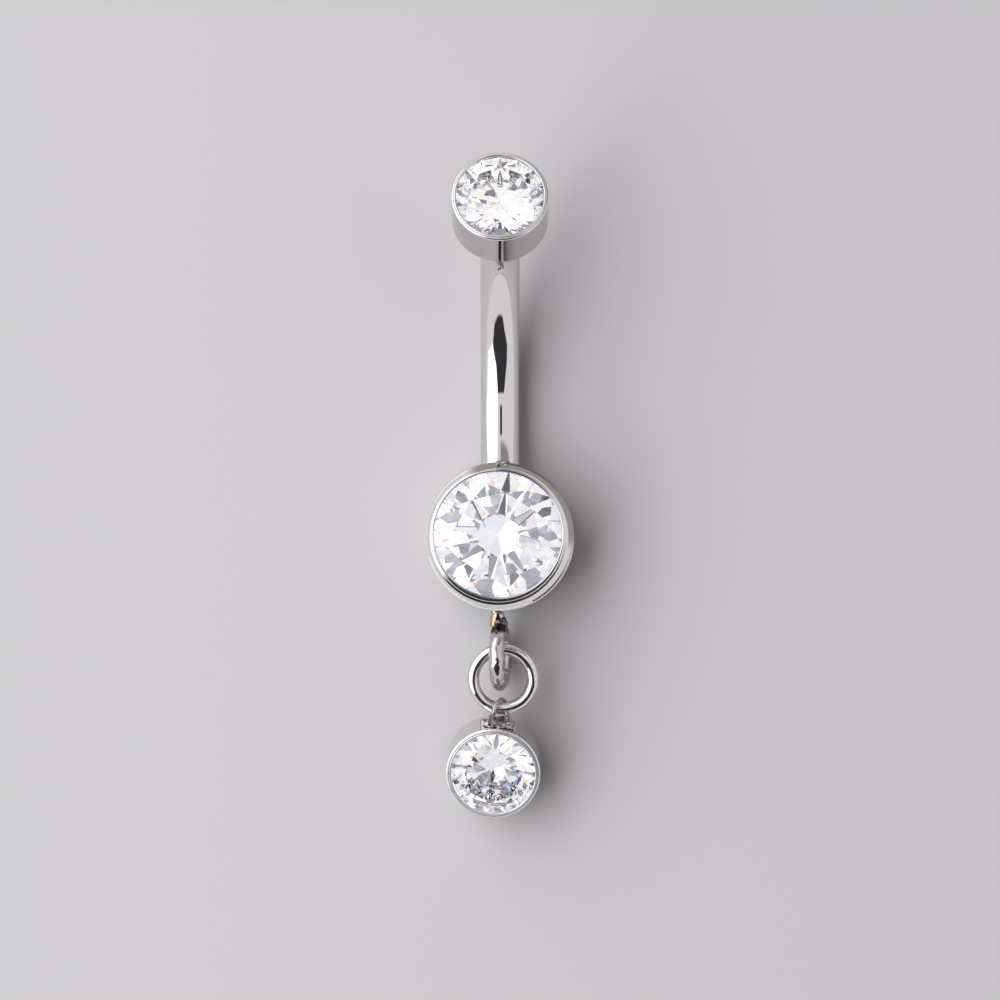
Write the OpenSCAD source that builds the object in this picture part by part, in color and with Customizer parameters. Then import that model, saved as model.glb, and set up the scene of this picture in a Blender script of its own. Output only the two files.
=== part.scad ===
// Navel ring: a curved barbell with a bezel-set stone at each end and a third bezel-set stone
// that hangs below the large one on a jump ring.
// It lies on its back. The floor is z = 0, the large setting's back is centred on the origin,
// +Y runs towards the screw-on top end and +Z is the side that faces the viewer.

/* [Bar] */
// Diameter of the bar
bar_d = 1.6; // [1.4:0.1:2]
// Radius of the bar's bend, at its centreline
bar_bend_r = 7.6; // [7:0.1:10]
// Distance from the large setting's wall to the bar's lowest point
bar_run = 2.59; // [2:0.01:3.5]
// Angle of the bar's top end above the floor
bar_end_angle = 68; // [55:1:75]
// Diameter of the bore in the bar's top end
bore_d = 0.8; // [0.6:0.05:0.9]
// Depth of the bore in the bar's top end
bore_depth = 1.8; // [1.2:0.1:2]

/* [Large setting] */
// Outer diameter of the large setting
main_cup_d = 6.02; // [5.8:0.02:6.6]
// Depth of the large setting from its back to its rim
main_cup_h = 2.95; // [2.8:0.05:3.3]
// Thickness of the wall round the large stone
main_wall = 0.3; // [0.26:0.01:0.4]
// Distance that the large setting's lip reaches in from that wall
main_lip_w = 0.13; // [0.1:0.01:0.2]
// Distance that the large stone's seat lies to the left of the setting's centre
main_seat_side = 0.085; // [0:0.005:0.1]
// Distance that this seat lies from the setting's centre towards the top end
main_seat_up = 0.045; // [0:0.005:0.06]
// Angle that the large stone is turned in its seat
main_stone_turn = 35; // [0:0.5:45]
// Width of the large setting's rounded rim
main_rim_w = 0.12; // [0.06:0.02:0.36]
// Height of the large setting's rounded rim
main_rim_h = 0.18; // [0.06:0.02:0.3]
// Distance from the large setting's rim down to its stone's girdle
main_lip_h = 0.3; // [0.28:0.01:0.36]
// Thickness of the metal under the large stone's point
main_floor_t = 0.2; // [0.15:0.05:0.6]
// Radius of the large setting's rounded back edge
main_back_r = 0.3; // [0.1:0.02:0.5]

/* [Top end] */
// Outer diameter of the top setting
top_cup_d = 3.86; // [3.8:0.02:4.6]
// Depth of the top setting from its back to its rim
top_cup_h = 2.03; // [1.9:0.01:2.4]
// Thickness of the wall round the top stone
top_wall = 0.11; // [0.1:0.01:0.2]
// Distance that the top setting's lip reaches in from that wall
top_lip_w = 0.09; // [0.08:0.01:0.14]
// Width of the top setting's rounded rim
top_rim_w = 0.16; // [0.06:0.02:0.18]
// Height of the top setting's rounded rim
top_rim_h = 0.18; // [0.06:0.02:0.3]
// Distance from the top setting's rim down to its stone's girdle
top_lip_h = 0.22; // [0.2:0.01:0.28]
// Thickness of the metal under the top stone's point
top_floor_t = 0.18; // [0.1:0.02:0.3]
// Radius of the top setting's rounded back edge
top_back_r = 0.12; // [0.06:0.02:0.3]

/* [Drop] */
// Outer diameter of the drop's setting
drop_cup_d = 3.84; // [3.8:0.02:4.6]
// Depth of the drop's setting from its back to its rim
drop_cup_h = 1.9; // [1.8:0.05:2.4]
// Thickness of the wall round the drop's stone
drop_wall = 0.13; // [0.1:0.01:0.2]
// Distance that the drop's lip reaches in from that wall
drop_lip_w = 0.09; // [0.08:0.01:0.14]
// Width of the drop's rounded rim
drop_rim_w = 0.14; // [0.06:0.02:0.18]
// Height of the drop's rounded rim
drop_rim_h = 0.14; // [0.06:0.02:0.3]
// Distance from the drop's rim down to its stone's girdle
drop_lip_h = 0.22; // [0.2:0.01:0.28]
// Thickness of the metal under the drop stone's point
drop_floor_t = 0.16; // [0.1:0.02:0.3]
// Radius of the drop's rounded back edge
drop_back_r = 0.25; // [0.1:0.05:0.4]
// Angle that the drop's back makes with the floor
drop_lean = 16.5; // [8:0.5:20]
// Angle that the drop is turned to the left of the bar's line
drop_turn = 6; // [0:1:10]

/* [Stone cut] */
// Width of a stone's table as a share of its girdle
table_share = 0.66; // [0.58:0.01:0.68]
// Height of a stone's crown as a share of its girdle
crown_share = 0.12; // [0.1:0.01:0.14]
// Thickness of a stone's girdle as a share of its width
girdle_share = 0.022; // [0.015:0.001:0.03]
// How far the star facets reach from the table to the girdle
star_share = 0.5; // [0.4:0.05:0.6]
// How far the lower girdle facets reach from the girdle to the culet
lower_share = 0.77; // [0.7:0.01:0.8]

/* [Links] */
// Diameter of the solder neck that carries the fixed loop
neck_d = 0.56; // [0.4:0.02:0.8]
// Gap between the large setting and the fixed loop
neck_l = 0.46; // [0.3:0.02:0.6]
// Distance that the solder neck lies to the left of the bar's line
neck_side = 0.1; // [0:0.02:0.14]
// Outer diameter of the fixed loop
loop_d = 2.85; // [2.7:0.05:3.2]
// Wire of the fixed loop
loop_wire = 0.62; // [0.4:0.02:0.64]
// Angle that the fixed loop is turned about the bar's line
loop_turn = 7; // [0:1:12]
// Outer diameter of the jump ring
jump_d = 2.92; // [2.84:0.02:3.2]
// Wire of the jump ring
jump_wire = 0.5; // [0.36:0.02:0.52]
// Width of the cut where the jump ring closes
jump_cut = 0.06; // [0.04:0.01:0.1]
// Distance that the jump ring lies to the right of the bar's line
jump_side = 0.12; // [0:0.02:0.14]
// Angle above the floor at which the jump ring's wire lies in the fixed loop, seen from its centre
near_angle = 53; // [30:1:70]
// Wire of the drop's eye
eye_wire = 0.16; // [0.14:0.01:0.2]
// Room round the jump ring's wire in the bend of the drop's eye
eye_room = 0.14; // [0.12:0.01:0.2]
// Angle that the drop's eye is turned about the drop's line
eye_turn = 29; // [20:1:31]
// Angle that each leg of the drop's eye leans outwards
eye_spread = 12; // [0:1:16]
// Distance from the drop's wall to the centre of its eye's bend
eye_stand = 0.35; // [0.3:0.01:0.42]
// Height of that centre above the drop's back
eye_up = 0.52; // [0.5:0.02:0.7]
// Length of the solder bar at the foot of the drop's eye
pad_l = 1.24; // [0.8:0.02:1.4]
// Thickness of the solder bar at the foot of the drop's eye
pad_d = 0.48; // [0.3:0.02:0.5]

/* [Clearances] */
// Gap between a stone and its setting
stone_gap = 0.03; // [0.02:0.01:0.04]
// Gap between the jump ring's wire and the rings that hold it
link_gap = 0.05; // [0.03:0.01:0.06]
// Gap between the top setting's back and the bar's end
seat_gap = 0.03; // [0.02:0.01:0.1]
// Gap between the post and its bore
post_gap = 0.04; // [0.02:0.01:0.08]
// Gap between the post's end and the bottom of its bore
post_end_gap = 0.2; // [0.1:0.05:0.5]

/* [Hidden] */
$fn = 96;
CORNERS = 8; // corners of a stone's table
SIDE = cos(180 / CORNERS); // from a corner's radius to the middle of a side
ARC_STEPS = 6; // straight steps along a rounded edge
steel = [0.78, 0.77, 0.77];
clear_stone = [0.9, 0.93, 0.97];

bar_sink = 0.3; // how far the bar and the neck start inside the large setting's wall

main_r = main_cup_d / 2;
main_stone_d = main_cup_d - 2 * (main_wall + stone_gap); // across its girdle
top_stone_d = top_cup_d - 2 * (top_wall + stone_gap);
drop_stone_d = drop_cup_d - 2 * (drop_wall + stone_gap);
loop_r = (loop_d - loop_wire) / 2; // centreline radius of the fixed loop
jump_r = (jump_d - jump_wire) / 2; // centreline radius of the jump ring
eye_r = (jump_wire + eye_wire) / 2 + eye_room; // centreline radius of the eye's bend

// Bar: an arc that touches the floor at its lowest point
bar_low_y = main_r + bar_run;
bar_axis_z = bar_bend_r + bar_d / 2;
bar_start_angle = -asin((bar_sink + bar_run) / bar_bend_r);
bar_end_y = bar_low_y + bar_bend_r * sin(bar_end_angle);
bar_end_z = bar_axis_z - bar_bend_r * cos(bar_end_angle);
post_l = bore_depth - post_end_gap + seat_gap; // from the top setting's back

// Fixed loop: it stands on the floor below the large setting
loop_y = -(main_r + neck_l + loop_d / 2);
loop_z = loop_d / 2;

// Drop: its back's lower edge touches the floor
eye_out = drop_cup_d / 2 + eye_stand; // from the drop's axis to the eye's centre
drop_back_z = (drop_cup_d / 2 - drop_back_r) * sin(drop_lean) + drop_back_r * (1 - cos(drop_lean));
eye_z = drop_back_z + eye_out * sin(drop_lean) + eye_up * cos(drop_lean);
eye_rise = eye_room - link_gap; // from the centre of the eye's bend to the jump ring's wire
far_z = eye_z + eye_rise * sin(drop_lean);

// Jump ring: one side lies in the fixed loop's hole and the other, lower down, in the eye
near_r = loop_r - (loop_wire + jump_wire) / 2 - link_gap;
near_y = loop_y + near_r * cos(near_angle);
near_z = loop_z + near_r * sin(near_angle);
jump_tilt = asin((near_z - far_z) / (2 * jump_r));
jump_y = near_y - jump_r * cos(jump_tilt);
jump_z = near_z - jump_r * sin(jump_tilt);
far_y = jump_y - jump_r * cos(jump_tilt);
cut_angle = 254; // where the jump ring is cut, anticlockwise from +X

// Place of the eye on the jump ring, and of the drop below it
eye_y = far_y - eye_rise * cos(drop_lean);
drop_x = -eye_out * cos(drop_lean) * sin(drop_turn);
drop_y = eye_y - (eye_out * cos(drop_lean) - eye_up * sin(drop_lean)) * cos(drop_turn);

// Points along a rounding of half-width w and half-height h from angle a to angle b
function rounding(x, z, w, h, a, b) =
    [for (i = [0 : ARC_STEPS]) let (t = a + (b - a) * i / ARC_STEPS) [x + w * cos(t), z + h * sin(t)]];

// A point at radius r, angle t and height z
function ring_point(r, t, z) = [r * cos(t), r * sin(t), z];

// A ring of CORNERS points, turned by half a step where half is 1
function ring_points(r, z, half) =
    [for (i = [0 : CORNERS - 1]) ring_point(r, 360 / CORNERS * (i + half / 2), z)];

// A stone's stars meet its kites at this radius, and at this height above its girdle
function star_r(stone_d) =
    let (r = stone_d / 2, inner = table_share * r * SIDE) inner + star_share * (r - inner);
function star_h(stone_d) =
    let (r = stone_d / 2) crown_share * stone_d * (r - star_r(stone_d) * SIDE) / (r - table_share * r);
// Slope of the upper girdle facets, the steepest of the crown
function crown_slope(stone_d) = star_h(stone_d) / (stone_d / 2 - star_r(stone_d));

// The room for a stone: the opening in the lip, the seat for the girdle and the pit for the pavilion
module stone_room(cup_h, stone_d, lip_w, lip_h, floor_t) {
    r = stone_d / 2 + stone_gap;
    lip_r = r - lip_w;
    top = cup_h - lip_h + stone_gap;
    low = cup_h - lip_h - girdle_share * stone_d - stone_gap;
    bevel = lip_h / 6;
    rotate_extrude()
        polygon([
            [0, floor_t - 2 * stone_gap],
            [r, low],
            [r, top],
            [lip_r, top + (r - lip_r) * crown_slope(stone_d)],
            [lip_r, cup_h - bevel],
            [lip_r + 2 * bevel, cup_h + bevel],
            [0, cup_h + bevel]]);
}

// A round setting that stands on its back at the origin, without the room for its stone
module setting(cup_d, cup_h, rim_w, rim_h, back_r) {
    r = cup_d / 2;
    rotate_extrude()
        polygon(concat(
            [[0, 0]],
            rounding(r - back_r, back_r, back_r, back_r, -90, 0),
            rounding(r - rim_w, cup_h - rim_h, rim_w, rim_h, 0, 90),
            [[0, cup_h]]));
}

// A round brilliant: octagonal table, stars, kites and 16 upper girdle facets above the girdle,
// 16 lower girdle facets and 8 mains below it
module brilliant(stone_d, girdle_z, culet_z) {
    n = CORNERS;
    r = stone_d / 2;
    table_r = table_share * r;
    crown_h = crown_share * stone_d;
    low_z = girdle_z - girdle_share * stone_d;
    ridge_r = (1 - lower_share) * r;
    ridge_z = culet_z + (low_z - culet_z) * ridge_r * SIDE / r;
    points = concat(
        ring_points(table_r, girdle_z + crown_h, 0),
        ring_points(star_r(stone_d), girdle_z + star_h(stone_d), 1),
        ring_points(r, girdle_z, 0),
        ring_points(r, girdle_z, 1),
        ring_points(r, low_z, 0),
        ring_points(r, low_z, 1),
        ring_points(ridge_r, ridge_z, 1),
        [[0, 0, culet_z]]);
    star = n;
    top_a = 2 * n;
    top_b = 3 * n;
    low_a = 4 * n;
    low_b = 5 * n;
    ridge = 6 * n;
    culet = 7 * n;
    faces = concat(
        [[for (i = [n - 1 : -1 : 0]) i]],
        [for (i = [0 : n - 1]) [i, (i + 1) % n, star + i]],
        [for (i = [0 : n - 1]) [i, star + i, top_a + i, star + (i + n - 1) % n]],
        [for (i = [0 : n - 1]) [star + i, top_b + i, top_a + i]],
        [for (i = [0 : n - 1]) [star + i, top_a + (i + 1) % n, top_b + i]],
        [for (i = [0 : n - 1]) [top_a + i, top_b + i, low_b + i, low_a + i]],
        [for (i = [0 : n - 1]) [top_b + i, top_a + (i + 1) % n, low_a + (i + 1) % n, low_b + i]],
        [for (i = [0 : n - 1]) [low_a + i, low_b + i, ridge + i]],
        [for (i = [0 : n - 1]) [low_b + i, low_a + (i + 1) % n, ridge + i]],
        [for (i = [0 : n - 1]) [low_a + i, ridge + i, culet, ridge + (i + n - 1) % n]]);
    polyhedron(points, faces);
}

// A round wire bent to a ring in the XY plane
module wire_ring(r, wire) {
    rotate_extrude() translate([r, 0]) circle(d = wire);
}

// The bar's arc, from inside the large setting's wall to its top end
module bar_arc() {
    translate([0, bar_low_y, bar_axis_z])
        rotate([90, 0, 90])
            rotate([0, 0, bar_start_angle - 90])
                rotate_extrude(angle = bar_end_angle - bar_start_angle)
                    translate([bar_bend_r, 0]) circle(d = bar_d);
}

// Places its child at the bar's top end, with +Z along the bar
module at_bar_end() {
    translate([0, bar_end_y, bar_end_z]) rotate([bar_end_angle - 90, 0, 0]) children();
}

// Places its child on the axis of the large stone's seat
module at_main_seat() {
    translate([-main_seat_side, main_seat_up, 0]) children();
}

// Places its child at the back of the drop, with +Z out of its face
module at_drop() {
    translate([drop_x, drop_y, drop_back_z]) rotate([drop_lean, 0, -drop_turn]) children();
}

// The bar with the large setting, the solder neck and the fixed loop, soldered into one
module curved_bar() {
    color(steel)
        difference() {
            union() {
                bar_arc();
                setting(main_cup_d, main_cup_h, main_rim_w, main_rim_h, main_back_r);
                translate([-neck_side, -main_r + bar_sink, loop_z])
                    rotate([90, 0, 0]) cylinder(d = neck_d, h = neck_l + bar_sink + loop_wire / 2);
                translate([0, loop_y, loop_z])
                    rotate([0, 90 - loop_turn, 0]) wire_ring(loop_r, loop_wire);
            }
            at_main_seat() stone_room(main_cup_h, main_stone_d, main_lip_w, main_lip_h, main_floor_t);
            at_bar_end() translate([0, 0, -bore_depth]) cylinder(d = bore_d, h = bore_depth + bar_d);
        }
}

// The top setting with its post
module top_bezel() {
    color(steel)
        at_bar_end()
            translate([0, 0, seat_gap])
                difference() {
                    union() {
                        setting(top_cup_d, top_cup_h, top_rim_w, top_rim_h, top_back_r);
                        translate([0, 0, -post_l])
                            cylinder(d = bore_d - 2 * post_gap, h = post_l + top_floor_t / 2);
                    }
                    stone_room(top_cup_h, top_stone_d, top_lip_w, top_lip_h, top_floor_t);
                }
}

// The jump ring, cut where it closes
module jump_ring() {
    cut = jump_cut / jump_r * 180 / PI;
    color(steel)
        translate([jump_side, jump_y, jump_z])
            rotate([jump_tilt, 0, 0])
                rotate([0, 0, cut_angle + cut / 2])
                    rotate_extrude(angle = 360 - cut)
                        translate([jump_r, 0]) circle(d = jump_wire);
}

// The drop's eye: a bend of wire round the jump ring, with a leg at each end that goes into the
// drop's wall
module drop_eye() {
    leg_l = (eye_stand + drop_wall + eye_r * sin(eye_spread)) / cos(eye_spread);
    translate([0, eye_out, eye_up])
        rotate([0, 90 - eye_turn, 0]) {
            rotate([0, 0, eye_spread])
                rotate_extrude(angle = 180 - 2 * eye_spread) translate([eye_r, 0]) circle(d = eye_wire);
            for (side = [0, 1])
                mirror([side, 0, 0])
                    rotate([0, 0, eye_spread])
                        translate([eye_r, 0, 0]) rotate([90, 0, 0]) cylinder(d = eye_wire, h = leg_l);
        }
}

// The drop's setting with its eye and the solder bar at the eye's foot
module drop_bezel() {
    pad_y = drop_cup_d / 2 - pad_d / 8;
    pad_z = drop_cup_h - pad_d;
    pad_half = (pad_l - pad_d) / 2;
    color(steel)
        at_drop()
            difference() {
                union() {
                    setting(drop_cup_d, drop_cup_h, drop_rim_w, drop_rim_h, drop_back_r);
                    drop_eye();
                    translate([-pad_half, pad_y, pad_z])
                        rotate([0, 90, 0]) cylinder(d = pad_d, h = 2 * pad_half);
                    for (side = [-1, 1]) translate([side * pad_half, pad_y, pad_z]) sphere(d = pad_d);
                }
                stone_room(drop_cup_h, drop_stone_d, drop_lip_w, drop_lip_h, drop_floor_t);
            }
}

module main_stone() {
    color(clear_stone)
        at_main_seat()
            rotate([0, 0, main_stone_turn])
                brilliant(main_stone_d, main_cup_h - main_lip_h, main_floor_t);
}

module top_stone() {
    color(clear_stone)
        at_bar_end()
            translate([0, 0, seat_gap])
                brilliant(top_stone_d, top_cup_h - top_lip_h, top_floor_t);
}

module drop_stone() {
    color(clear_stone)
        at_drop() brilliant(drop_stone_d, drop_cup_h - drop_lip_h, drop_floor_t);
}

curved_bar();
main_stone();
top_bezel();
top_stone();
jump_ring();
drop_bezel();
drop_stone();
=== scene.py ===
# Navel ring on a pale floor: a curved bar with a bezel-set stone at each end and a bezel-set drop.
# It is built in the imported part's frame, where the floor is z = 0 and +Y runs to the top end.
# Sizes here are millimetres, and every mesh is scaled to metres as it is made.
import math

import bpy
from mathutils import Matrix, Vector, noise


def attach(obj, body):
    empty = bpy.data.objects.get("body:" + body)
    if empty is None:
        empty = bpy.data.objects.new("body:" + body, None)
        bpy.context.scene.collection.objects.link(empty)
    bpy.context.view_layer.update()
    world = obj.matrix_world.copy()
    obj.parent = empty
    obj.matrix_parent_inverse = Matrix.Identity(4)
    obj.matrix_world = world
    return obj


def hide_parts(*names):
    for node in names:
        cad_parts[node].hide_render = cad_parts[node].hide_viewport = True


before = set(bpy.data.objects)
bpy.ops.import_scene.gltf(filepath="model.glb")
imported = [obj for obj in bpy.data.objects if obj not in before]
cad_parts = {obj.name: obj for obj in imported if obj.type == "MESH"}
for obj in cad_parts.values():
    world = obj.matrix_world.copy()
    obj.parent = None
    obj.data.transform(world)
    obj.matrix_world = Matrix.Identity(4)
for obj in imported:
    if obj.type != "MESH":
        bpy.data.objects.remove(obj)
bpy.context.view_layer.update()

MM = 0.001

# Camera: straight above the floor, a long way off for its size
CAMERA_HEIGHT = 160
CAMERA_Y = 1.48
SENSOR_WIDTH = 36
FOCAL_PIXELS = 3888
FRAME_PIXELS = 1000

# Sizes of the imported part
BAR_D = 1.6
BAR_BEND_R = 7.6
BAR_LOW_Y = 5.6
BAR_START, BAR_END = math.radians(-22.35), math.radians(68)
MAIN_D, MAIN_H, MAIN_STONE_D, MAIN_FLOOR = 6.02, 2.95, 5.36, 0.2
MAIN_SEAT = Vector((-0.085, 0.045, 0))
TOP_D, TOP_H, TOP_STONE_D, TOP_FLOOR = 3.86, 2.03, 3.58, 0.18
POST_R, POST_DEEP, POST_IN = 0.36, 1.6, 0.09
DROP_D, DROP_H, DROP_STONE_D, DROP_FLOOR = 3.84, 1.9, 3.52, 0.16
SEAT_GAP = 0.03
STONE_GAP = 0.03
GIRDLE_SHARE = 0.022
DROP_LEAN, DROP_TURN = math.radians(16.5), math.radians(6)
DROP_AT = Vector((-0.2275, -9.1088, 0.4846))
NECK_SIDE, NECK_D, NECK_FLARE = 0.1, 0.56, 0.22
LOOP_R, LOOP_WIRE, LOOP_TURN = 1.115, 0.62, math.radians(7)
LOOP_AT = Vector((0, -4.895, 1.425))
JUMP_R, JUMP_WIRE, JUMP_TILT = 1.21, 0.5, math.radians(4.143)
JUMP_AT = Vector((0.12, -5.798, 1.741))
JUMP_CUT_AT, JUMP_CUT = math.radians(254), 0.06
EYE_R, EYE_WIRE, EYE_TURN, EYE_SPREAD = 0.47, 0.16, math.radians(29), math.radians(12)
EYE_OUT, EYE_UP, EYE_LEG = 2.27, 0.52, 0.46
PAD_L, PAD_D = 1.24, 0.48


def make_camera():
    data = bpy.data.cameras.new("camera")
    data.sensor_width = SENSOR_WIDTH
    data.lens = SENSOR_WIDTH * FOCAL_PIXELS / FRAME_PIXELS
    data.clip_start = 0.01
    data.clip_end = 10
    camera = bpy.data.objects.new("camera", data)
    camera.location = (0, CAMERA_Y * MM, CAMERA_HEIGHT * MM)
    bpy.context.scene.collection.objects.link(camera)
    bpy.context.scene.camera = camera


# The values that a noise texture mostly keeps between
NOISE_LOW, NOISE_HIGH = 0.3, 0.7


class Graph:
    """Short calls for building a node tree."""

    def __init__(self, tree):
        self.tree = tree
        tree.nodes.clear()

    def node(self, kind, **settings):
        made = self.tree.nodes.new(kind)
        for name, value in settings.items():
            setattr(made, name, value)
        return made

    def plug(self, source, socket):
        if isinstance(source, bpy.types.NodeSocket):
            self.tree.links.new(source, socket)
        else:
            socket.default_value = source

    def math(self, operation, *values):
        made = self.node("ShaderNodeMath", operation=operation)
        for value, socket in zip(values, made.inputs):
            self.plug(value, socket)
        return made.outputs[0]

    def add(self, first, second):
        return self.math("ADD", first, second)

    def minus(self, first, second):
        return self.math("SUBTRACT", first, second)

    def least(self, first, second):
        return self.math("MINIMUM", first, second)

    def most(self, first, second):
        return self.math("MAXIMUM", first, second)

    def times(self, *values):
        product = values[0]
        for value in values[1:]:
            product = self.math("MULTIPLY", product, value)
        return product

    def slope(self, value, start, rate):
        """A straight line that is 0 at start."""
        return self.times(self.minus(value, start), rate)

    def past(self, value, start, rate):
        """That line past start, and 0 before it."""
        return self.times(self.most(self.minus(value, start), 0), rate)

    def before(self, value, start, rate):
        """That line before start, and 0 past it."""
        return self.times(self.least(self.minus(value, start), 0), rate)

    def ramp(self, value, low, high, to_low=0, to_high=1, kind="LINEAR"):
        made = self.node("ShaderNodeMapRange", interpolation_type=kind)
        ends = {"Value": value, "From Min": low, "From Max": high, "To Min": to_low, "To Max": to_high}
        for name, source in ends.items():
            self.plug(source, made.inputs[name])
        return made.outputs["Result"]

    def above(self, value, edge, soft):
        """0 below edge and 1 above it, over a soft band."""
        return self.ramp(value, edge - soft / 2, edge + soft / 2, kind="SMOOTHSTEP")

    def below(self, value, edge, soft):
        """1 below edge and 0 above it, over a soft band."""
        return self.minus(1, self.above(value, edge, soft))

    def between(self, value, low, high, soft):
        """1 from low to high, with soft ends."""
        return self.minus(self.above(value, low, soft), self.above(value, high, soft))

    def mix(self, share, first, second):
        made = self.node("ShaderNodeMix", data_type="RGBA")
        self.plug(share, made.inputs[0])
        for source, socket in ((first, made.inputs[6]), (second, made.inputs[7])):
            self.plug(source if isinstance(source, bpy.types.NodeSocket) else (*source, 1), socket)
        return made.outputs[2]

    def split(self, vector):
        made = self.node("ShaderNodeSeparateXYZ")
        self.plug(vector, made.inputs[0])
        return made.outputs

    def place(self):
        """The place on the object, in metres."""
        return self.node("ShaderNodeTexCoord").outputs["Object"]

    def noise(self, vector, scale, detail=2):
        made = self.node("ShaderNodeTexNoise")
        self.plug(vector, made.inputs["Vector"])
        made.inputs["Scale"].default_value = scale
        made.inputs["Detail"].default_value = detail
        return made.outputs["Fac"]

    def waver(self, vector, scale, low, high, detail=2):
        """A number that wavers from low to high over the surface."""
        return self.ramp(self.noise(vector, scale, detail), NOISE_LOW, NOISE_HIGH, low, high)


# Studio: a room that is light grey all round, with a large soft box on the left and the dark of
# the camera's side towards -Y. What a stone's inner rays see has colours of its own.
ROOM_GREY = (0.815, 0.78, 0.805)
CEILING = (0.82, 0.8, 0.79)
SOFT_BOX = (5.5, 5.5, 5.6)
SOFT_BOX_SEEN = (1.7, 1.7, 1.75)
SOFT_BOX_IN_STONE = (1.45, 1.47, 1.57)
DARK_SIDE = (0.04, 0.04, 0.045)
DARK_IN_STONE = (0.26, 0.26, 0.3)
DIM_IN_STONE = (0.76, 0.76, 0.8)
FAR_SIDE = (0.32, 0.3, 0.31)
FAR_IN_STONE = (0.7, 0.7, 0.76)
# How much brighter a stone's inner rays see all of it
STONE_GAIN = 0.27
# How much further towards -Y the soft box reaches for the rays that only light, and how much lower
# it reaches, towards +Y, for the rays that show it
BOX_REACH, BOX_LOW_PART = 0.35, 0.12


# The shapes below are outlined by a ray's direction: x to the right, y up the photo, z up from the
# floor. Each gives 1 inside the shape and 0 outside it.
def far_side(g, x, y, z):
    """A darker patch of the room's far side."""
    return g.times(g.between(y, low=0.5, high=0.97, soft=0.1), g.between(x, low=0.05, high=0.75, soft=0.15),
                   g.above(z, edge=0.1, soft=0.1))


def dark_side(g, x, y, z):
    """The camera's side: an arch, narrow near the zenith, and ended by the wall below it."""
    left = g.add(-0.43, g.slope(y, start=-0.8, rate=-0.74))
    right = g.add(0.65, g.past(y, start=-0.35, rate=-0.8))
    right = g.add(right, g.before(y, start=-0.5, rate=1.3))
    foot = g.times(x, x, 0.56)
    return g.times(g.above(g.minus(x, left), edge=0, soft=0.05), g.above(g.minus(right, x), edge=0, soft=0.06),
                   g.above(g.minus(y, foot), edge=-0.84, soft=0.04), g.below(y, edge=-0.04, soft=0.04),
                   g.above(z, edge=0.36, soft=0.04))


def dark_line(g, x, y, z):
    """A short dark line overhead, which the bar's lower part reflects."""
    return g.times(g.between(x, low=0, high=0.21, soft=0.05), g.between(y, low=0.1, high=0.44, soft=0.06),
                   g.above(z, edge=0.5, soft=0.04))


def soft_box(g, x, y, z, seen):
    """The soft box, which ends towards -Y in a blunt point."""
    point = g.most(g.slope(x, start=-0.68, rate=-0.75), g.slope(x, start=-0.68, rate=0.5))
    low_edge = g.minus(g.add(-0.5, point), g.times(g.minus(1, seen), BOX_REACH))
    low_part = g.times(seen, g.above(y, edge=0, soft=0.1), BOX_LOW_PART)
    slant = g.before(y, start=-0.1, rate=0.5)
    return g.times(g.below(g.minus(x, slant), edge=-0.25, soft=0.05), g.above(g.minus(y, low_edge), edge=0, soft=0.05),
                   g.below(y, edge=0.9, soft=0.05), g.above(g.add(z, low_part), edge=0.2, soft=0.06))


def make_studio():
    world = bpy.data.worlds.new("studio")
    bpy.context.scene.world = world
    world.use_nodes = True
    g = Graph(world.node_tree)
    x, y, z = g.split(g.node("ShaderNodeTexCoord").outputs["Generated"])
    rays = g.node("ShaderNodeLightPath").outputs
    in_stone = rays["Is Transmission Ray"]
    seen = g.most(rays["Is Glossy Ray"], g.most(in_stone, rays["Is Camera Ray"]))
    shade = g.mix(g.above(z, edge=0.8, soft=0.3), ROOM_GREY, CEILING)
    shade = g.mix(far_side(g, x, y, z), shade, g.mix(in_stone, FAR_SIDE, FAR_IN_STONE))
    dark_in_stone = g.mix(g.above(y, edge=-0.38, soft=0.12), DIM_IN_STONE, DARK_IN_STONE)
    shade = g.mix(dark_side(g, x, y, z), shade, g.mix(in_stone, DARK_SIDE, dark_in_stone))
    shade = g.mix(dark_line(g, x, y, z), shade, DARK_SIDE)
    # The box is as bright in reflections as film shows it, and lights the floor with its full strength
    bright = g.mix(seen, SOFT_BOX, g.mix(in_stone, SOFT_BOX_SEEN, SOFT_BOX_IN_STONE))
    shade = g.mix(soft_box(g, x, y, z, seen), shade, bright)
    background = g.node("ShaderNodeBackground")
    g.plug(shade, background.inputs["Color"])
    g.plug(g.add(1, g.times(in_stone, STONE_GAIN)), background.inputs["Strength"])
    g.plug(background.outputs[0], g.node("ShaderNodeOutputWorld").inputs["Surface"])


def new_material(name):
    """A material with a Principled shader, its graph and that shader."""
    material = bpy.data.materials.new(name)
    material.use_nodes = True
    g = Graph(material.node_tree)
    shader = g.node("ShaderNodeBsdfPrincipled")
    g.plug(shader.outputs[0], g.node("ShaderNodeOutputMaterial").inputs["Surface"])
    return material, g, shader


# Floor: metres from its middle to its edge, and from the middle to where each side's colour is full. Its left side is
# painted lighter than its right: painted light, as from the soft box on the left.
FLOOR_HALF = 1.5
FLOOR_FADE = 0.02
FLOOR_LEFT = (0.336, 0.33, 0.333)
FLOOR_RIGHT = (0.306, 0.298, 0.306)


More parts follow.
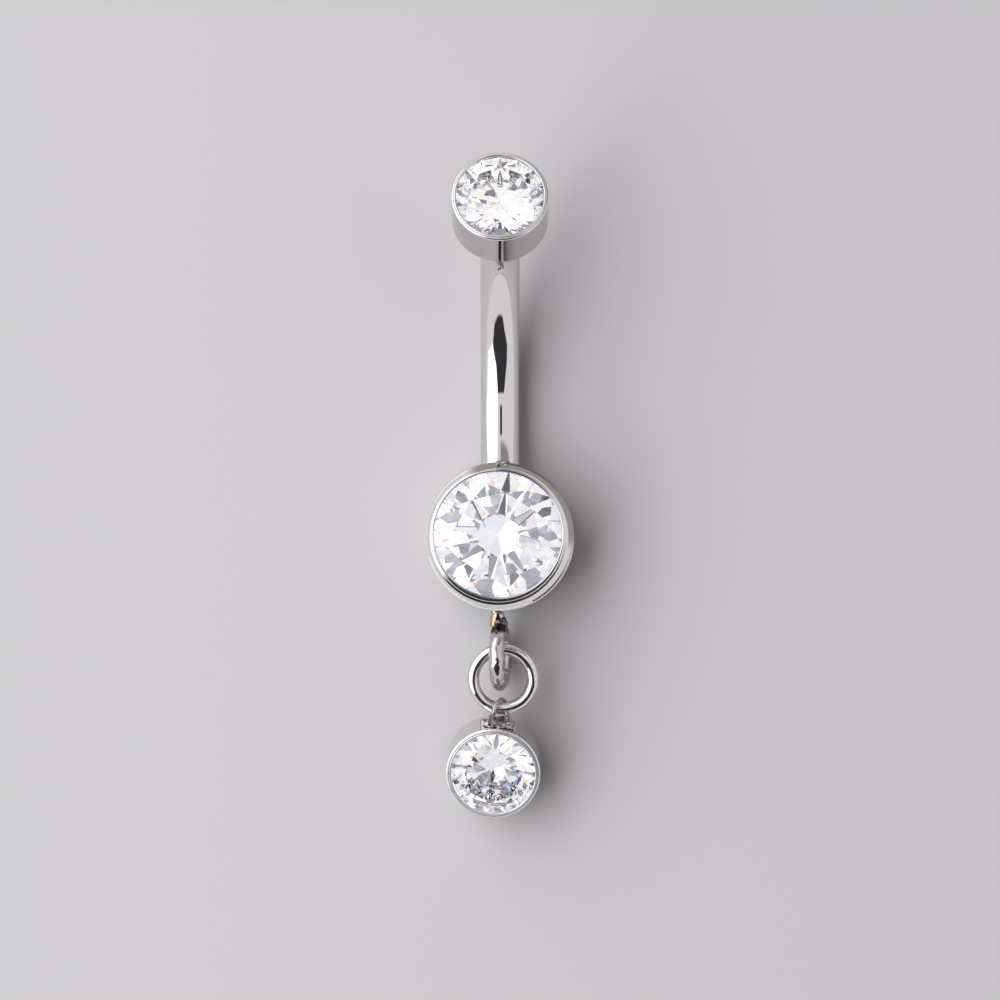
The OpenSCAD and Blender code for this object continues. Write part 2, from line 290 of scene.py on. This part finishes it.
def make_floor():
    half = FLOOR_HALF
    mesh = bpy.data.meshes.new("floor")
    mesh.from_pydata([(-half, -half, 0), (half, -half, 0), (half, half, 0), (-half, half, 0)], [], [(0, 1, 2, 3)])
    floor = bpy.data.objects.new("floor", mesh)
    bpy.context.scene.collection.objects.link(floor)
    material, g, shader = new_material("floor")
    x = g.split(g.place())[0]
    # Painted light: the floor's colour is lighter towards the soft box on the left
    g.plug(g.mix(g.ramp(x, -FLOOR_FADE, FLOOR_FADE), FLOOR_LEFT, FLOOR_RIGHT), shader.inputs["Base Color"])
    shader.inputs["Roughness"].default_value = 0.9
    shader.inputs["Specular IOR Level"].default_value = 0.1
    mesh.materials.append(material)


# Metals: the two colours that each mixes, by place
POLISHED = (0.73, 0.715, 0.72), (0.79, 0.78, 0.78)
# Darker than the polished metal: partly its hammered surface, partly painted shade of the floor and shadows that the
# upright loop reflects
WORKED_AND_SHADED = (0.5, 0.47, 0.46), (0.7, 0.68, 0.67)
# Painted shade: a darker copy of the polished metal, for the top setting's wall
SHADED_WALL = (0.52, 0.5, 0.5), (0.6, 0.58, 0.58)
# Painted shade: near-black solder where the loop meets the large setting and between the drop's eye and its pad
PAINTED_SHADE_DARK = (0.05, 0.042, 0.038), (0.25, 0.21, 0.19)
ROUGH = (0.26, 0.235, 0.225), (0.6, 0.57, 0.56)
# Painted highlight: a brighter copy of the polished metal, for the drop's lip
LIP_HIGHLIGHT = (0.82, 0.81, 0.81), (0.9, 0.89, 0.89)
PIT = (0.86, 0.86, 0.88), (0.93, 0.93, 0.94)
# Painted reflection of a warm-coloured thing, on the left side of the solder neck
GOLD_REFLECTION = (0.6, 0.46, 0.28)
# Painted shade at the fixed loop's top, and the dark along the solder neck's middle
SHADE_AND_SEAM_DARK = (0.05, 0.04, 0.035)
# Painted reflection of something grey, on the large setting's rim
PAINTED_GREY_REFLECTION = (0.33, 0.32, 0.32)
# Scales of the noise that mixes the colours, roughens the surface and wavers an edge of colour
COLOUR_SCALE, GRAIN_SCALE, SEAM_SCALE, SHADE_EDGE_SCALE = 900, 4000, 5000, 4000
# Strength and scale of the swell of a calm surface, and the depth of every swell
CALM = 0.04, 700
SWELL_DEPTH = 0.02
# The direction in which the large setting's rim is painted darker, a painted reflection of something grey
GREY_REFLECTION_TOWARDS = 0.6, 0.8


def metal_material(name, colours, rough, swell=CALM, seam=False, grey_reflection_side=False, shaded_from=None):
    """White metal: rough is its least and most roughness, and swell the strength and scale of the
    low waves that bend its reflections."""
    material, g, shader = new_material(name)
    place = g.place()
    colour = g.mix(g.noise(place, COLOUR_SCALE), *colours)
    if seam:
        # Solder: a painted gold reflection of a warm-coloured thing on its left side, and dark along its middle
        x = g.add(g.split(place)[0], g.waver(place, SEAM_SCALE, -0.09 * MM, 0.09 * MM))
        colour = g.mix(g.above(x, edge=-0.2 * MM, soft=0.05 * MM), GOLD_REFLECTION, colour)
        colour = g.mix(g.between(x, low=-0.14 * MM, high=0.02 * MM, soft=0.05 * MM), colour, SHADE_AND_SEAM_DARK)
    if shaded_from is not None:
        # Painted shade: dark from this y towards the large setting, where the loop meets it
        y = g.add(g.split(place)[1], g.waver(place, SHADE_EDGE_SCALE, -0.1 * MM, 0.1 * MM))
        colour = g.mix(g.above(y, edge=shaded_from * MM, soft=0.12 * MM), colour, SHADE_AND_SEAM_DARK)
    if grey_reflection_side:
        # Painted reflection: the large setting's rim is painted darker towards the upper right, as if it reflected
        # something grey there
        x, y, z = g.split(place)
        out = g.math("SQRT", g.add(g.times(x, x), g.times(y, y)))
        along = g.add(g.times(x, GREY_REFLECTION_TOWARDS[0]), g.times(y, GREY_REFLECTION_TOWARDS[1]))
        towards = g.math("DIVIDE", along, g.most(out, 0.1 * MM))
        grey_reflection_part = g.times(g.above(towards, edge=0.5, soft=0.2), g.above(out, edge=2.76 * MM, soft=0.06 * MM),
                            g.above(z, edge=2.4 * MM, soft=0.2 * MM))
        colour = g.mix(grey_reflection_part, colour, PAINTED_GREY_REFLECTION)
    g.plug(colour, shader.inputs["Base Color"])
    shader.inputs["Metallic"].default_value = 1
    g.plug(g.waver(place, GRAIN_SCALE, *rough, detail=3), shader.inputs["Roughness"])
    waves = g.node("ShaderNodeBump")
    waves.inputs["Strength"].default_value = swell[0]
    waves.inputs["Distance"].default_value = SWELL_DEPTH * MM
    g.plug(g.noise(place, swell[1]), waves.inputs["Height"])
    g.plug(waves.outputs[0], shader.inputs["Normal"])
    return material


STONE_TINT = (0.93, 0.94, 0.98)
SMALL_STONE_TINT = (1.0, 1.0, 1.0)
STONE_IOR = 2.16
# Fire: how a stone colours, in small places, the light that leaves it close to the angle where none
# leaves. Each stop is a place on Layer Weight's Facing and a colour, or None for the stone's tint.
FIRE = (
    (0.0, None), (0.055, None), (0.059, (1.0, 0.2, 0.03)), (0.064, (1.0, 0.75, 0.2)), (0.069, None),
    (0.088, None), (0.093, (1.0, 0.25, 0.03)), (0.099, (0.12, 0.45, 1.0)), (0.106, (0.08, 0.05, 1.0)),
    (0.114, (0.2, 0.06, 0.6)))
FIRE_SCALE, FIRE_SOFT = 2200, 0.01


def stone_material(name, tint, fire_from):
    """Clear stone; its inner faces show fire where a noise is above fire_from."""
    material, g, shader = new_material(name)
    inside = g.node("ShaderNodeNewGeometry").outputs["Backfacing"]
    facing = g.node("ShaderNodeLayerWeight")
    facing.inputs["Blend"].default_value = 0.5
    ramp = g.node("ShaderNodeValToRGB")
    g.plug(facing.outputs["Facing"], ramp.inputs[0])
    stops = ramp.color_ramp.elements
    while len(stops) < len(FIRE):
        stops.new(0.5)
    for stop, (place, colour) in zip(stops, FIRE):
        stop.position = place
        stop.color = (*(colour or tint), 1)
    fiery = g.times(inside, g.above(g.noise(g.place(), FIRE_SCALE), edge=fire_from, soft=FIRE_SOFT))
    g.plug(g.mix(fiery, tint, ramp.outputs[0]), shader.inputs["Base Color"])
    shader.inputs["Transmission Weight"].default_value = 1
    shader.inputs["Roughness"].default_value = 0
    shader.inputs["IOR"].default_value = STONE_IOR
    return material


# Points round the large setting, the small ones and a wire
LARGE_AROUND, SMALL_AROUND, WIRE_AROUND = 192, 160, 40
# Rows this far from a rounding keep its shade off the flat beside it
EDGE_ROW = 0.03


def clamp(value):
    return min(max(value, 0), 1)


def spread(start, end, steps):
    """Numbers from start to end."""
    return [start + (end - start) * i / steps for i in range(steps + 1)]


def line(start, end, steps):
    """A straight path."""
    return [Vector(point) for point in zip(*(spread(a, b, steps) for a, b in zip(start, end)))]


def circle(r, angles):
    """A path on a circle."""
    return [Vector((r * math.cos(t), r * math.sin(t), 0)) for t in angles]


def on_bar(t):
    """The bar's axis, at an angle t from the lowest point of its bend."""
    return Vector((0, BAR_LOW_Y + BAR_BEND_R * math.sin(t), BAR_BEND_R + BAR_D / 2 - BAR_BEND_R * math.cos(t)))


def arc(x, z, w, h, start, end, steps=8):
    """Points of a rounding of half-width w and half-height h, from start to end in degrees."""
    turns = [math.radians(t) for t in spread(start, end, steps)]
    return [(x + w * math.cos(t), z + h * math.sin(t)) for t in turns]


def lathe(profile, around, shift=None):
    """A surface of revolution; shift maps a profile point to its ring's centre."""
    verts, faces, rings = [], [], []
    for r, z in profile:
        centre = shift(r, z) if shift else Vector()
        if r < 1e-6:
            rings.append([len(verts)] * around)
            verts.append((centre.x, centre.y, z))
            continue
        rings.append(list(range(len(verts), len(verts) + around)))
        for i in range(around):
            t = 2 * math.pi * i / around
            verts.append((centre.x + r * math.cos(t), centre.y + r * math.sin(t), z))
    for low, high in zip(rings, rings[1:]):
        for i in range(around):
            j = (i + 1) % around
            corners = []
            for v in (low[i], low[j], high[j], high[i]):
                if v not in corners:
                    corners.append(v)
            if len(corners) > 2:
                faces.append(corners)
    return verts, faces


def sweep(path, radius, around=WIRE_AROUND, closed=False):
    """A round wire along a path; radius is a number or a call (share of length) -> radius."""
    verts, faces = [], []
    count = len(path)
    size = radius if callable(radius) else lambda share: radius
    ahead = []
    for i in range(count):
        before = path[i - 1] if closed or i else path[i]
        after = path[(i + 1) % count] if closed or i < count - 1 else path[i]
        ahead.append((after - before).normalized())
    start = Vector((0, 0, 1)) if abs(ahead[0].z) < 0.9 else Vector((1, 0, 0))
    side = (start - start.dot(ahead[0]) * ahead[0]).normalized()
    for i in range(count):
        side = (side - side.dot(ahead[i]) * ahead[i]).normalized()
        other = ahead[i].cross(side)
        for k in range(around):
            a = 2 * math.pi * k / around
            verts.append(path[i] + size(i / count) * (math.cos(a) * side + math.sin(a) * other))
    for i in range(count if closed else count - 1):
        for k in range(around):
            n = (k + 1) % around
            low, high = i * around, (i + 1) % count * around
            faces.append((low + k, low + n, high + n, high + k))
    if not closed:
        for ring, tip, reverse in ((0, path[0], True), ((count - 1) * around, path[-1], False)):
            verts.append(tip)
            for k in range(around):
                edge = (ring + k, ring + (k + 1) % around)
                faces.append((*(edge[::-1] if reverse else edge), len(verts) - 1))
    return verts, faces


def blunt(radius, power, least):
    """The radius of a wire with rounded ends; least is the share of its square that is left there."""
    return lambda share: radius * max(1 - (2 * share - 1) ** power, least) ** 0.5


def joined(*shapes):
    verts, faces = [], []
    for shape_verts, shape_faces in shapes:
        faces += [tuple(v + len(verts) for v in face) for face in shape_faces]
        verts += [Vector(v) for v in shape_verts]
    return verts, faces


def swollen(shape, amount, scale, seed):
    """The shape with its points moved in and out a little, as hand-worked metal is."""
    verts, faces = shape
    moved = []
    for v in verts:
        v = Vector(v)
        where = v / scale + Vector((seed, seed * 1.7, seed * 0.6))
        push = Vector([noise.noise(where + Vector((k * 9.1, 0, 0))) for k in range(3)])
        moved.append(v + amount * push)
    return moved, faces


def piece(name, shape, place, material, node):
    """An object of the shape at its place, which replaces the node's solid."""
    verts, faces = shape
    mesh = bpy.data.meshes.new(name)
    mesh.from_pydata([tuple((place @ Vector(v)) * MM) for v in verts], [], faces)
    mesh.validate()
    mesh.polygons.foreach_set("use_smooth", [True] * len(mesh.polygons))
    mesh.materials.append(material)
    made = bpy.data.objects.new(name, mesh)
    bpy.context.scene.collection.objects.link(made)
    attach(made, "root")
    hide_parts(node)
    return made


def finish(setting, place, material, chosen):
    """Gives a material to the faces of a setting that are chosen, by the place of a face's middle
    on the setting and its distance from the axis."""
    mesh = setting.data
    mesh.materials.append(material)
    back = place.inverted()
    for face in mesh.polygons:
        spot = back @ (face.center / MM)
        if chosen(spot, math.hypot(spot.x, spot.y)):
            face.material_index = len(mesh.materials) - 1


# A pit's faces lie this far above its setting's back, and this far below its top
PIT_ABOVE, PIT_BELOW = 0.02, 0.28


def in_pit(edge, h):
    """Chooses the faces under the stone of a setting of height h, from an edge in to the axis."""
    return lambda spot, out: out < edge and PIT_ABOVE < spot.z < h - PIT_BELOW


def cup(d, h, stone_d, floor, rim, lip_w, lip_h, back_r, bead):
    """Profile of a setting from its back's centre over the rim to the pit's centre. rim is the width
    and height of the outer edge's rounding, and bead that of the ridge at the stone's edge."""
    r = d / 2
    room = stone_d / 2 + STONE_GAP
    lip_r = room - lip_w
    top = h - lip_h + STONE_GAP
    low = h - lip_h - GIRDLE_SHARE * stone_d - STONE_GAP
    back = [(0, 0), (r * 0.5, 0), (r - back_r - 0.05, 0)] + arc(r - back_r, back_r, back_r, back_r, -90, 0)
    wall = [(r, z) for z in spread(back_r + EDGE_ROW, h - rim[1] - EDGE_ROW, 6)]
    over = arc(r - rim[0], h - rim[1], rim[0], rim[1], 0, 90, 10)
    flat_in = lip_r + 2 * bead[0]
    flat = [(x, h) for x in spread(r - rim[0], flat_in, 4)[1:-1]]
    ridge = [(flat_in - bead[0] * (1 - math.cos(t)), h + bead[1] * math.sin(t)) for t in spread(0, math.pi / 2, 5)]
    ridge += arc(lip_r + bead[0], h + bead[1] - bead[0], bead[0], bead[0], 90, 180, 6)
    under = [(lip_r, h - bead[0] - EDGE_ROW), (lip_r, top + lip_w * 1.3), (room, top), (room, (top + low) / 2),
             (room, low)]
    pit_floor = list(zip(spread(room, 0, 4), spread(low, floor - 2 * STONE_GAP, 4)))[1:]
    return back + wall + over + flat + ridge + under + pit_floor


# How far the large setting's outer edge is moved at its top, and over what width of its rim
RIM_SHIFT, RIM_BAND = Vector((-0.09, -0.05, 0)), 0.15


def main_shift(r, z):
    """The large setting's lip and pit lie with its stone, off the middle of its back and wall."""
    if r < 2 and z < 1:
        return MAIN_SEAT if z > 0.01 else Vector()
    band_r = MAIN_D / 2 - RIM_BAND
    share = clamp((band_r - r) / (band_r - MAIN_STONE_D / 2))
    outer = clamp((MAIN_D / 2 - r) / RIM_BAND) * (1 - share) if z > MAIN_H - 0.2 else 0
    return (MAIN_SEAT * share if z > 0.5 else Vector()) + RIM_SHIFT * outer


# The large setting's lip reaches further over the stone by this much at the stone's middle height
# in the photo, and by this much more for each millimetre below it
LIP_REACH, LIP_REACH_RATE = 0.04, 0.021


def reaching(shape):
    """The large setting with its lip reaching further over the stone at the bottom."""
    verts, faces = shape
    moved = []
    for v in verts:
        spot = Vector(v) - MAIN_SEAT
        if spot.z > MAIN_H - PIT_BELOW:
            share = clamp((MAIN_STONE_D / 2 + 0.04 - math.hypot(spot.x, spot.y)) / 0.1)
            v = Vector(v) + Vector((0, share * (LIP_REACH - LIP_REACH_RATE * spot.y), 0))
        moved.append(v)
    return moved, faces


scene = bpy.context.scene
scene.view_settings.view_transform = "Standard"
scene.cycles.max_bounces = 24
scene.cycles.transmission_bounces = 20
scene.cycles.glossy_bounces = 14
make_camera()
make_studio()
make_floor()

mirror = metal_material("polished_metal", POLISHED, rough=(0.02, 0.05))
# The loop's top is painted dark: painted shade where it meets the large setting
loop_metal = metal_material("loop_metal", WORKED_AND_SHADED, rough=(0.06, 0.14), swell=(0.5, 2600), shaded_from=-3.88)
solder = metal_material("solder", WORKED_AND_SHADED, rough=(0.08, 0.2), swell=(0.7, 4200), seam=True)
# The rim is painted darker towards the upper right: a painted reflection of something grey
rim = metal_material("rim", POLISHED, rough=(0.02, 0.05), grey_reflection_side=True)
lip_metal = metal_material("lip_metal", LIP_HIGHLIGHT, rough=(0.26, 0.34))
link_metal = metal_material("link_metal", POLISHED, rough=(0.05, 0.12), swell=(0.3, 2600))
satin = metal_material("satin", POLISHED, rough=(0.38, 0.46))
side = metal_material("side", SHADED_WALL, rough=(0.04, 0.08))
rough_solder = metal_material("rough_solder", ROUGH, rough=(0.08, 0.2), swell=(0.9, 5200))
shaded_solder = metal_material("shaded_solder", PAINTED_SHADE_DARK, rough=(0.1, 0.25), swell=(0.7, 4200))
pit = metal_material("pit", PIT, rough=(0.3, 0.4), swell=(0.3, 3000))
stone = stone_material("clear_stone", STONE_TINT, fire_from=0.52)
small_stone = stone_material("small_clear_stone", SMALL_STONE_TINT, fire_from=0.58)
stones = {"main_stone": stone, "top_stone": small_stone, "drop_stone": small_stone}
for name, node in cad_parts.items():
    node.data.materials.clear()
    node.data.materials.append(stones.get(name, mirror))

# Curved bar with its large setting, the solder at the rim, the neck and the fixed loop
here = Matrix()
bar_path = [on_bar(t) for t in spread(BAR_START, BAR_END, 160)]
piece("bar", sweep(bar_path, BAR_D / 2, 96), here, mirror, "curved_bar")
main_profile = cup(MAIN_D, MAIN_H, MAIN_STONE_D, MAIN_FLOOR,
                   rim=(0.06, 0.09), lip_w=0.13, lip_h=0.3, back_r=0.3, bead=(0.06, 0.04))
large = piece("large_setting", reaching(lathe(main_profile, LARGE_AROUND, main_shift)), here, rim, "curved_bar")
finish(large, here, pit, in_pit(MAIN_STONE_D / 2 + 0.05, MAIN_H))
# The rim's lower outer edge is duller
finish(large, here, satin,
       lambda spot, out: spot.z > MAIN_H - 0.12 and out > MAIN_D / 2 - 0.09 and spot.y < -0.8)
dot_left, dot_right, dot_y, dot_z = -0.22, 0.42, MAIN_D / 2 - 0.09, MAIN_H - 0.1
dot = sweep(line((dot_left, dot_y, dot_z), (dot_right, dot_y, dot_z), 32), blunt(0.15, power=4, least=0.03), 32)
piece("bar_solder", swollen(dot, amount=0.06, scale=0.09, seed=4), here, rough_solder, "curved_bar")
neck_start = (-NECK_SIDE, -MAIN_D / 2 + 0.12, LOOP_AT.z)
neck_end = (-NECK_SIDE, LOOP_AT.y + LOOP_R + 0.1, LOOP_AT.z)
neck = sweep(line(neck_start, neck_end, 24), lambda share: NECK_D / 2 * (1 + NECK_FLARE * (2 * share - 1) ** 4))
piece("solder_neck", swollen(neck, amount=0.05, scale=0.25, seed=3), here, solder, "curved_bar")
loop_place = Matrix.Translation(LOOP_AT) @ Matrix.Rotation(math.pi / 2 - LOOP_TURN, 4, "Y")
loop = sweep(circle(LOOP_R, spread(0, 2 * math.pi, 128)[:-1]), LOOP_WIRE / 2, closed=True)
hammered = swollen(swollen(loop, amount=0.03, scale=0.4, seed=1), amount=0.018, scale=0.16, seed=6)
piece("fixed_loop", hammered, loop_place, loop_metal, "curved_bar")
shoulder_top, shoulder_foot = (-0.12, -3.34, 1.46), (0.04, -3.76, 1.46)
shoulder = sweep(line(shoulder_top, shoulder_foot, 20), blunt(0.35, power=4, least=0.03), 28)
# Painted shade: this solder is near-black where the loop meets the large setting
piece("loop_solder", swollen(shoulder, amount=0.07, scale=0.25, seed=15), here, shaded_solder, "curved_bar")

# Top setting on its post
top_place = (Matrix.Translation(on_bar(BAR_END)) @ Matrix.Rotation(BAR_END - math.pi / 2, 4, "X")
             @ Matrix.Translation((0, 0, SEAT_GAP)))
top_profile = cup(TOP_D, TOP_H, TOP_STONE_D, TOP_FLOOR,
                  rim=(0.08, 0.08), lip_w=0.09, lip_h=0.22, back_r=0.12, bead=(0.045, 0.02))
post = sweep(line((0, 0, -POST_DEEP), (0, 0, POST_IN), 12), POST_R, 32)
top = piece("top_setting", joined(lathe(top_profile, SMALL_AROUND), post), top_place, mirror, "top_bezel")
finish(top, top_place, pit, in_pit(TOP_STONE_D / 2, TOP_H))
# Its wall is painted darker: painted shade of the floor and the bar that it reflects
finish(top, top_place, side, lambda spot, out: spot.z < TOP_H - 0.1 and out > TOP_STONE_D / 2 + 0.05)

# Jump ring, open by the width of its cut
half_cut = JUMP_CUT / JUMP_R / 2
jump_path = circle(JUMP_R, spread(JUMP_CUT_AT + half_cut, JUMP_CUT_AT + 2 * math.pi - half_cut, 144))
jump_place = Matrix.Translation(JUMP_AT) @ Matrix.Rotation(JUMP_TILT, 4, "X")
link = swollen(sweep(jump_path, JUMP_WIRE / 2), amount=0.012, scale=0.5, seed=5)
piece("link", link, jump_place, link_metal, "jump_ring")

# Drop: its setting, the eye round the jump ring and the solder at the eye's foot
drop_place = (Matrix.Translation(DROP_AT) @ Matrix.Rotation(-DROP_TURN, 4, "Z")
              @ Matrix.Rotation(DROP_LEAN, 4, "X"))
drop_profile = cup(DROP_D, DROP_H, DROP_STONE_D, DROP_FLOOR,
                   rim=(0.1, 0.08), lip_w=0.09, lip_h=0.22, back_r=0.25, bead=(0.045, 0.012))
drop = piece("drop_setting", lathe(drop_profile, SMALL_AROUND), drop_place, mirror, "drop_bezel")
finish(drop, drop_place, pit, in_pit(DROP_STONE_D / 2, DROP_H))
# Its lip is painted brighter, a painted highlight, and is softer
finish(drop, drop_place, lip_metal, lambda spot, out: spot.z > DROP_H - 0.1)
bend = circle(EYE_R, spread(EYE_SPREAD, math.pi - EYE_SPREAD, 48))
leg = EYE_LEG / math.cos(EYE_SPREAD) * Vector((math.sin(EYE_SPREAD), -math.cos(EYE_SPREAD), 0))
right_leg = line(bend[0] + leg, bend[0], 8)[:-1]
left_leg = [Vector((-v.x, v.y, 0)) for v in reversed(right_leg)]
eye_place = (drop_place @ Matrix.Translation((0, EYE_OUT, EYE_UP))
             @ Matrix.Rotation(math.pi / 2 - EYE_TURN, 4, "Y"))
piece("drop_eye", sweep(right_leg + bend + left_leg, EYE_WIRE / 2, 32), eye_place, rough_solder, "drop_bezel")
foot_z = DROP_H - PAD_D + 0.16
# Feet of solder on the eye's two legs: x and height of the thin tip, then of the base on the wall
feet = ((-0.28, 0.62, -0.42, 0.2), (0.3, 0.2, 0.46, 0.02))
for number, (tip_x, tip_up, base_x, base_up) in enumerate(feet, 1):
    tip = (tip_x, EYE_OUT - 0.04, EYE_UP + tip_up)
    base = (base_x, DROP_D / 2 + 0.06, foot_z + base_up)
    foot = sweep(line(tip, base, 16), lambda share: 0.1 + 0.11 * share, 24)
    foot = swollen(foot, amount=0.04, scale=0.2, seed=11 + number)
    piece("eye_foot_" + str(number), foot, drop_place, rough_solder, "drop_bezel")
saddle_left = (-0.3, DROP_D / 2 + 0.07, EYE_UP + 0.5)
saddle_right = (0.4, DROP_D / 2 + 0.07, EYE_UP + 0.12)
saddle = sweep(line(saddle_left, saddle_right, 20), blunt(0.12, power=6, least=0.03), 24)
# Painted shade: this solder is near-black between the eye and the pad
piece("eye_solder", swollen(saddle, amount=0.035, scale=0.18, seed=16), drop_place, shaded_solder, "drop_bezel")
pad_half, pad_z = PAD_L / 2 + 0.1, DROP_H - PAD_D + 0.1
pad_path = [Vector((-pad_half * math.cos(t), DROP_D / 2 + 0.02, pad_z)) for t in spread(0, math.pi, 40)]
pad = sweep(pad_path, blunt(0.24, power=6, least=0.02), 32)
piece("drop_solder", swollen(pad, amount=0.05, scale=0.22, seed=8), drop_place, rough_solder, "drop_bezel")
